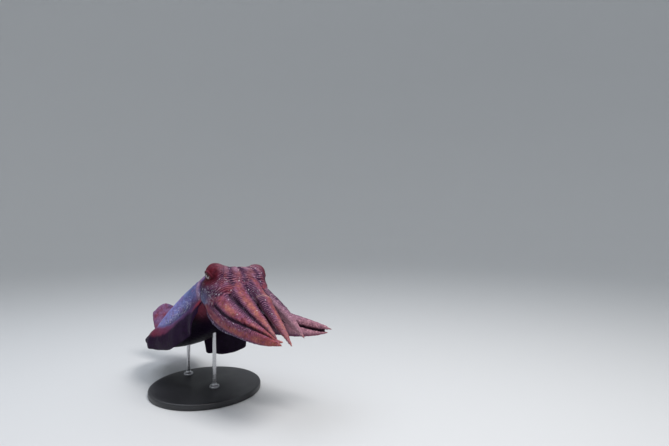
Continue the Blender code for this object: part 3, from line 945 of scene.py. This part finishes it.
class Surface:
    """A Principled material under construction."""

    def __init__(self, name, roughness, metallic=0.0):
        self.material = bpy.data.materials.new(name)
        self.material.use_nodes = True
        self.tree = self.material.node_tree
        self.where = self.add("TexCoord", {})["Object"]
        self.finish({"Roughness": roughness, "Metallic": metallic})

    def fill(self, node, sockets):
        """Give each socket its number, its colour or what another node puts out."""
        for key, value in sockets.items():
            if isinstance(value, tuple):
                node.inputs[key].default_value = (*value, 1.0)
            elif isinstance(value, (int, float)):
                node.inputs[key].default_value = value
            else:
                self.tree.links.new(value, node.inputs[key])

    def add(self, kind, sockets, **settings):
        node = self.tree.nodes.new(f"ShaderNode{kind}")
        for key, value in settings.items():
            setattr(node, key, value)
        self.fill(node, sockets)
        return node.outputs

    def finish(self, sockets):
        self.fill(self.tree.nodes["Principled BSDF"], sockets)
        return self.material

    def texture(self, kind, scale, **sockets):
        return self.add(f"Tex{kind}", {"Vector": self.where, "Scale": scale, **sockets})

    def attribute(self, name):
        return self.add("Attribute", {}, attribute_name=name)["Color"]

    def channels(self, colour):
        return self.add("SeparateColor", {"Color": colour})

    def math(self, operation, a, b):
        return self.add("Math", {0: a, 1: b}, operation=operation)[0]

    def range(self, value, *limits):
        """A value moved smoothly from between the first two limits to between the last two."""
        sockets = dict(enumerate((value, *limits)))
        return self.add("MapRange", sockets, interpolation_type="SMOOTHSTEP")[0]

    def mix(self, share, a, b, kind="MIX"):
        return self.add("Mix", {0: share, 6: a, 7: b}, data_type="RGBA", blend_type=kind)[2]

    def bump(self, height, strength, distance):
        return self.add("Bump", {"Height": height, "Strength": strength, "Distance": distance})[0]


def skin_material():
    """Moist skin: the painted tint, dark waves, pigment sacs, white dots and a pebbled surface."""
    s = Surface("cuttlefish_skin", 0.5)
    dotted, rippled, count = s.channels(s.attribute("marks"))
    stir = s.texture("Noise", 330.0, Detail=3.0, Roughness=0.6)[0]
    turn = s.math("MULTIPLY", s.math("ADD", count, s.math("MULTIPLY", stir, 0.45)), math.tau)
    ripple = s.math("SINE", turn, 0.0)
    sacs = s.texture("Voronoi", 520.0)["Distance"]
    lumps = s.texture("Noise", 170.0, Detail=4.0, Roughness=0.65)[0]
    veins = s.texture("Noise", 70.0, Detail=5.0, Roughness=0.6, Distortion=0.8)[0]
    crest = s.math("MULTIPLY", s.range(ripple, -0.35, 0.45, 0.0, 0.95), rippled)
    trough = s.math("MULTIPLY", s.range(ripple, -0.9, -0.2, 0.42, 0.0), rippled)
    tint = s.mix(crest, s.attribute("tint"), (0.024, 0.008, 0.034))
    tint = s.mix(trough, tint, (0.42, 0.24, 0.34))
    tint = s.mix(s.range(sacs, 0.10, 0.46, 0.50, 0.0), tint, (0.02, 0.006, 0.016))
    paler = s.mix(1.0, tint, (1.75, 1.9, 1.8), "MULTIPLY")
    tint = s.mix(s.range(lumps, 0.50, 0.70, 0.0, 0.75), tint, paler)
    darker = s.mix(1.0, tint, (0.35, 0.28, 0.38), "MULTIPLY")
    tint = s.mix(s.range(veins, 0.52, 0.68, 0.0, 0.60), tint, darker)
    # White dots of three sizes, the largest only where dots are thickest
    for scale, chance, least in ((420.0, 0.60, 0.0), (250.0, 0.55, 0.0), (115.0, 2.2, 0.85)):
        cell = s.texture("Voronoi", scale)
        wanted = s.math("MULTIPLY", s.math("SUBTRACT", dotted, least), chance)
        rare = s.math("LESS_THAN", s.channels(cell["Color"])[0], wanted)
        dot = s.math("MULTIPLY", s.range(cell["Distance"], 0.14, 0.30, 0.95, 0.0), rare)
        tint = s.mix(dot, tint, (0.88, 0.86, 0.96))
    pebbles = s.texture("Voronoi", 380.0)["Distance"]
    fine = s.texture("Noise", 900.0, Detail=3.0, Roughness=0.6)[0]
    height = s.math("ADD", s.math("MULTIPLY", pebbles, -0.7), fine)
    ridges = s.math("MULTIPLY", s.math("MULTIPLY", ripple, rippled), -0.5)
    rough = s.range(lumps, 0.3, 0.7, 0.36, 0.56)
    relief = s.bump(s.math("ADD", height, ridges), 0.45, 0.0006)
    s.finish({"Coat Weight": 0.04, "Coat Roughness": 0.20, "Specular IOR Level": 0.03})
    return s.finish({"Base Color": tint, "Roughness": rough, "Normal": relief})


def eye_material():
    """The eyeball: painted iris and pupil under a wet clear surface."""
    s = Surface("cuttlefish_eye", 0.14)
    flecks = s.range(s.texture("Noise", 900.0, Detail=3.0)[0], 0.45, 0.7, 0.0, 0.25)
    s.finish({"Coat Weight": 0.22, "Coat Roughness": 0.03, "Specular IOR Level": 0.25})
    return s.finish({"Base Color": s.mix(flecks, s.attribute("tint"), (0.22, 0.08, 0.07))})


def base_material():
    """Satin black paint with a faint grain."""
    s = Surface("stand_paint", 0.4)
    grain = s.texture("Noise", 900.0, Detail=4.0, Roughness=0.7)[0]
    cloud = s.texture("Noise", 14.0, Detail=3.0)[0]
    tint = s.mix(s.range(cloud, 0.3, 0.7, 0.0, 1.0), (0.020, 0.020, 0.023), (0.030, 0.030, 0.034))
    rough = s.range(cloud, 0.3, 0.7, 0.34, 0.46)
    return s.finish({"Base Color": tint, "Roughness": rough, "Normal": s.bump(grain, 0.12, 0.0002)})


def rod_material():
    """Steel brushed round the rod."""
    s = Surface("stand_steel", 0.28, 1.0)
    stretch = s.tree.nodes.new("ShaderNodeMapping")
    stretch.inputs["Scale"].default_value = (1.0, 1.0, 30.0)
    s.fill(stretch, {"Vector": s.where})
    s.where = stretch.outputs[0]
    lines = s.texture("Noise", 90.0, Detail=4.0, Roughness=0.7)[0]
    tint = s.mix(s.range(lines, 0.35, 0.65, 0.0, 1.0), (0.46, 0.46, 0.48), (0.62, 0.62, 0.64))
    rough = s.range(lines, 0.35, 0.65, 0.22, 0.38)
    return s.finish({"Base Color": tint, "Roughness": rough, "Normal": s.bump(lines, 0.08, 0.0002)})


# ---------------------------------------------------------------- pieces


def add_piece(name, mesh, material, slot, *nodes):
    piece = bpy.data.objects.new(name, mesh)
    bpy.context.scene.collection.objects.link(piece)
    mesh.materials.clear()
    mesh.materials.append(material)
    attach(piece, "root")
    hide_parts(*nodes)


flesh_nodes = [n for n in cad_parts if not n.startswith(("eye_", "stand_"))]
add_piece("cuttlefish_skin", joined, skin_material(), "mantle", *flesh_nodes)


def ring_mesh(name, rings, capped=(0, -1)):
    """A mesh through rings of points, shut at the rings whose places are given."""
    shape = bmesh.new()
    rows = [[shape.verts.new(p) for p in ring] for ring in rings]
    for low, high in zip(rows, rows[1:]):
        for i in range(len(low)):
            shape.faces.new((low[i - 1], low[i], high[i], high[i - 1]))
    for row in capped:
        shape.faces.new(rows[row])
    bmesh.ops.recalc_face_normals(shape, faces=shape.faces)
    mesh = bpy.data.meshes.new(name)
    shape.to_mesh(mesh)
    shape.free()
    mesh.shade_smooth()
    mesh.set_sharp_from_angle(angle=math.radians(40))
    return mesh


def turned(name, foot, profile, count, capped=(0, -1)):
    """A round mesh: the profile gives its radius and its height above the foot."""
    across = unit(np.cross(UP, LEFT + 0.3 * FORWARD))
    a = angles(count)
    circle = spread(across, np.cos(a)) + spread(np.cross(UP, across), np.sin(a))
    return ring_mesh(name, [foot + UP * tall + circle * radius for radius, tall in profile], capped)


# The length of the pupil's wave and its own half length, in millimetres, and the eye's colours
PUPIL_WAVE, PUPIL_REACH = 9.6, 10.0
IRIS, RAY, WHITE_OF_EYE = (0.085, 0.014, 0.020), (0.20, 0.055, 0.045), (0.16, 0.07, 0.10)
RIM, SILVER_GLINT, PUPIL = (0.30, 0.15, 0.10), (0.66, 0.62, 0.68), (0.002, 0.002, 0.003)


def eye_mesh(side):
    """An eyeball with a dark, wavy pupil in a maroon iris, looking out to its side."""
    sign = SIDES[side]
    turn, a = np.linspace(0.02, math.pi - 0.02, 110)[:, None], angles(150)
    fore, up = np.sin(turn) * np.cos(a), np.sin(turn) * np.sin(a)
    swell = EYE_RADIUS * (1 + 0.035 * peak(turn, 0, 0.5))
    points = HEAD + LEFT * sign * EYE_SPREAD + spread(LEFT * sign, np.cos(turn) * swell)
    points = points + spread(FORWARD, fore * swell) + spread(UP, up * swell)
    mesh = ring_mesh(f"eye_{side}", banked(points))
    f, u = (fore * EYE_RADIUS).ravel() * 1000, (up * EYE_RADIUS).ravel() * 1000
    wide = np.degrees(turn + 0 * a).ravel()
    rays = np.sin(46 * np.arctan2(u, f) + 3 * np.sin(f * 1.3))
    curve = 2.3 * np.cos(math.tau * f / PUPIL_WAVE) - 0.6
    half = 1.5 - 0.5 * np.cos(math.tau * f / PUPIL_WAVE)
    edge = np.abs(u - curve) - half * np.sqrt(np.clip(1 - (f / PUPIL_REACH) ** 2, 0, 1))
    pupil = fade(-0.15, 0.25, edge) * (np.abs(f) < PUPIL_REACH) * (wide < 90)
    # A pale silver patch below the pupil: the iris's own silver, made bright as a painted highlight
    # too
    under = curve - half - u
    silver_glint = blend(0.2, 0.9, under) * fade(2.0, 3.6, under)
    silver_glint = silver_glint * fade(6.5, 9.0, np.hypot(f, u + 2))
    tint = coats(
        np.zeros((len(f), 3)) + IRIS,
        (RAY, 0.45 * blend(0.2, 1.0, rays) * blend(12, 30, wide)),
        (WHITE_OF_EYE, 0.8 * blend(42, 54, wide)),
        (RIM, fade(0.2, 0.8, np.abs(edge)) * (wide < 45) * 0.35),
        (SILVER_GLINT, 0.85 * silver_glint),
        (PUPIL, pupil),
    )
    paint(mesh, "tint", tint)
    return mesh


eye_surface = eye_material()
for word in SIDES:
    add_piece(f"eyeball_{word}", eye_mesh(word), eye_surface, "eye", f"eye_{word}")

# The base's outline, inwards from its rim: a small chamfer below and a rounded edge above
BASE_OUTLINE = ((0.0050, 0.0), (0.0020, 0.0), (0.0005, 0.0008), (0.0, 0.0020), (0.0, 0.0105))
BASE_OUTLINE += ((0.0007, 0.0125), (0.0022, 0.0137))
BASE_OUTLINE += ((0.0045, BASE_THICKNESS), (0.0150, BASE_THICKNESS))
# The turned foot of a rod, up to where the plain rod starts
ROD_FOOT = ((0.0120, 0.0), (0.0120, 0.0030), (0.0112, 0.0042), (0.0080, 0.0046), (0.0066, 0.0060))
ROD_FOOT += ((0.0060, 0.0100), (0.0054, 0.0104), (ROD_RADIUS, 0.0106))
# How far a rod runs up into the belly, past its own CAD box
ROD_SINK = 0.006

outline = [(BASE_RADIUS - inward, tall) for inward, tall in BASE_OUTLINE]
base = turned("stand_plate", np.zeros(3), outline, 160)
add_piece("stand_plate", base, base_material(), "stand_base", "stand_base")
steel_surface = rod_material()
for word in ("front", "rear"):
    low, high = (np.array(c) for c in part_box(f"stand_rod_{word}"))
    foot = np.array([(low[0] + high[0]) / 2, (low[1] + high[1]) / 2, BASE_THICKNESS])
    outline = (*ROD_FOOT, (ROD_RADIUS, high[2] - BASE_THICKNESS + ROD_SINK))
    post = turned(f"stand_post_{word}", foot, outline, 48)
    add_piece(f"stand_post_{word}", post, steel_surface, "stand_rod", f"stand_rod_{word}")

# ---------------------------------------------------------------- floor, light and camera

FLOOR_COLOUR = (0.66, 0.67, 0.68)
FLOOR_OUTLINE = ((3.4, 0.0), (4.1, 0.06), (4.8, 0.26), (5.4, 0.62), (5.9, 1.15))
FLOOR_OUTLINE += ((6.25, 1.85), (6.45, 2.7), (6.5, 3.6), (6.5, 4.8))
AIM = Vector((0.0, -0.05, 0.2))
LIGHTS = (
    # name, place, power, size and colour
    ("key", (0.15, -1.05, 1.85), 27, 0.8, (1.0, 0.97, 0.95)),
    ("top", (-0.5, 0.5, 1.7), 9, 1.1, (0.86, 0.91, 1.0)),
    ("fill", (-1.9, -0.9, 0.9), 1.5, 1.4, (0.90, 0.94, 1.0)),
)
AIR_COLOUR, AIR_STRENGTH = (0.80, 0.84, 0.88, 1.0), 0.645
CAMERA_PLACE, CAMERA_HEADING, CAMERA_LENS = (-0.5174, -1.0435, 0.416), -42.454, 24.0


def add_to_scene(name, data):
    thing = bpy.data.objects.new(name, data)
    bpy.context.scene.collection.objects.link(thing)
    return thing


# A wide pale floor that sweeps up all round into a backdrop, so no horizon shows
floor_mesh = turned("floor", np.zeros(3), FLOOR_OUTLINE, 72, capped=(0,))
floor_mesh.materials.append(Surface("floor_paint", 0.8).finish({"Base Color": FLOOR_COLOUR}))
floor = add_to_scene("floor", floor_mesh)

for name, spot, power, size, tint in LIGHTS:
    lamp = bpy.data.lights.new(name, "AREA")
    lamp.energy, lamp.size, lamp.color = power, size, tint
    light = add_to_scene(name, lamp)
    light.location = spot
    light.rotation_euler = (AIM - Vector(spot)).to_track_quat("-Z", "Y").to_euler()

world = bpy.data.worlds.new("studio")
world.use_nodes = True
air = world.node_tree.nodes["Background"].inputs
air["Color"].default_value, air["Strength"].default_value = AIR_COLOUR, AIR_STRENGTH
bpy.context.scene.world = world

lens = bpy.data.cameras.new("camera")
lens.lens, lens.sensor_width, lens.clip_end = CAMERA_LENS, 36.0, 100.0
camera = add_to_scene("camera", lens)
camera.location = CAMERA_PLACE
camera.rotation_euler = (math.radians(90), 0.0, math.radians(CAMERA_HEADING))
bpy.context.scene.camera = camera
bpy.context.scene.view_settings.view_transform = "Standard"
